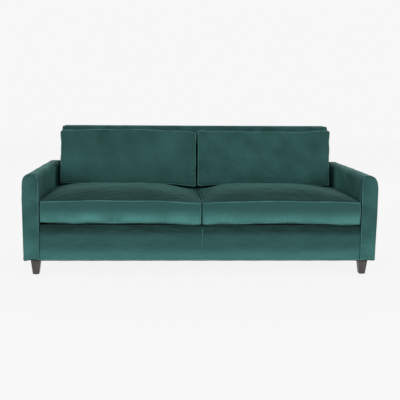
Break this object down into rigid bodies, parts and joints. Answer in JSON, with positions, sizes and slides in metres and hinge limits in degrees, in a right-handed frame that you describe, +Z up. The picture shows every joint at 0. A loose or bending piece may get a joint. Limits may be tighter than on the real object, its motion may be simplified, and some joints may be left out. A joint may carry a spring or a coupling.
{
  "type": "sofa",
  "caption": "Low upholstered sofa with track arms lower than its back, loose seat and back cushions with piped edges, and short square tapered wooden legs.",
  "frame": {"origin": "on the floor, at the middle of the sofa's box", "axes": "+X along the seat, towards the right end as seen by someone facing the sofa; +Y to the rear; +Z up"},
  "size_m": [2.06, 0.884, 0.845],
  "materials": {
    "velvet": "cut-pile cotton velvet, soft sheen on the folds",
    "velvet_piping": "velvet-covered cord, pile brushed flat",
    "leg_wood": "stained dark, satin lacquer",
    "frame_timber": "planed, bare",
    "fibreboard": "smooth hardboard, bare",
    "padding_foam": "polyether foam with a fibre skin",
    "cushion_filling": "foam core wrapped in fibre",
    "felt_pad": "pressed felt",
    "deck_fabric": "plain-woven polyester",
    "dust_fabric": "thin non-woven cloth",
    "webbing": "woven elastic strap",
    "zinc_steel": "bright zinc plated",
    "zip_tape": "woven tape with nylon coil",
    "zip_metal": "gunmetal",
    "glide_nylon": "moulded nylon"
  },
  "bodies": {
    "frame": {"front_rail": "frame_timber", "seat_rear_rail": "frame_timber", "rear_rail": "frame_timber", "end_rails": "frame_timber", "centre_rail": "frame_timber", "corner_blocks": "frame_timber", "back_posts": "frame_timber", "back_top_rail": "frame_timber", "back_lower_rail": "frame_timber", "left_arm_frame": "frame_timber", "right_arm_frame": "frame_timber", "frame_screws": "zinc_steel", "seat_springs": "zinc_steel", "spring_clips": "zinc_steel", "arm_bolts": "zinc_steel", "leg_plates": "zinc_steel", "leg_bolts": "zinc_steel", "front_border_padding": "padding_foam", "back_padding": "padding_foam", "left_arm_padding": "padding_foam", "right_arm_padding": "padding_foam", "front_border_cover": "velvet", "back_cover": "velvet", "outside_back_cover": "velvet", "left_arm_cover": "velvet", "right_arm_cover": "velvet", "left_arm_front_panel": "velvet", "right_arm_front_panel": "velvet", "body_piping": "velvet_piping", "front_left_leg": "leg_wood", "front_right_leg": "leg_wood", "rear_left_leg": "leg_wood", "rear_right_leg": "leg_wood", "seat_pad": "felt_pad", "deck_cloth": "deck_fabric", "dust_cloth": "dust_fabric", "back_webbing": "webbing", "left_arm_boards": "fibreboard", "right_arm_boards": "fibreboard", "leg_glides": "glide_nylon"},
    "left_seat_cushion": {"left_seat_cover": "velvet", "left_seat_core": "cushion_filling", "left_seat_piping": "velvet_piping", "left_seat_zip": "zip_tape"},
    "left_seat_zip_pull": {"left_seat_zip_slider": "zip_metal"},
    "left_back_cushion": {"left_back_cover": "velvet", "left_back_core": "cushion_filling", "left_back_piping": "velvet_piping", "left_back_zip": "zip_tape"},
    "left_back_zip_pull": {"left_back_zip_slider": "zip_metal"},
    "right_seat_cushion": {"right_seat_cover": "velvet", "right_seat_core": "cushion_filling", "right_seat_piping": "velvet_piping", "right_seat_zip": "zip_tape"},
    "right_seat_zip_pull": {"right_seat_zip_slider": "zip_metal"},
    "right_back_cushion": {"right_back_cover": "velvet", "right_back_core": "cushion_filling", "right_back_piping": "velvet_piping", "right_back_zip": "zip_tape"},
    "right_back_zip_pull": {"right_back_zip_slider": "zip_metal"}
  },
  "joints": [
    {"name": "left_seat_cushion_slide", "type": "slide", "parent": "frame", "child": "left_seat_cushion", "axis": [0, -1, 0], "range_m": [0, 0.76]},
    {"name": "left_seat_zip_slide", "type": "slide", "parent": "left_seat_cushion", "child": "left_seat_zip_pull", "axis": [-1, 0, 0], "range_m": [0, 0.69]},
    {"name": "left_back_cushion_lift", "type": "slide", "parent": "frame", "child": "left_back_cushion", "axis": [0, 0, 1], "range_m": [0, 0.4]},
    {"name": "left_back_zip_slide", "type": "slide", "parent": "left_back_cushion", "child": "left_back_zip_pull", "axis": [1, 0, 0], "range_m": [0, 0.69]},
    {"name": "right_seat_cushion_slide", "type": "slide", "parent": "frame", "child": "right_seat_cushion", "axis": [0, -1, 0], "range_m": [0, 0.76]},
    {"name": "right_seat_zip_slide", "type": "slide", "parent": "right_seat_cushion", "child": "right_seat_zip_pull", "axis": [1, 0, 0], "range_m": [0, 0.69]},
    {"name": "right_back_cushion_lift", "type": "slide", "parent": "frame", "child": "right_back_cushion", "axis": [0, 0, 1], "range_m": [0, 0.4]},
    {"name": "right_back_zip_slide", "type": "slide", "parent": "right_back_cushion", "child": "right_back_zip_pull", "axis": [-1, 0, 0], "range_m": [0, 0.69]}
  ]
}
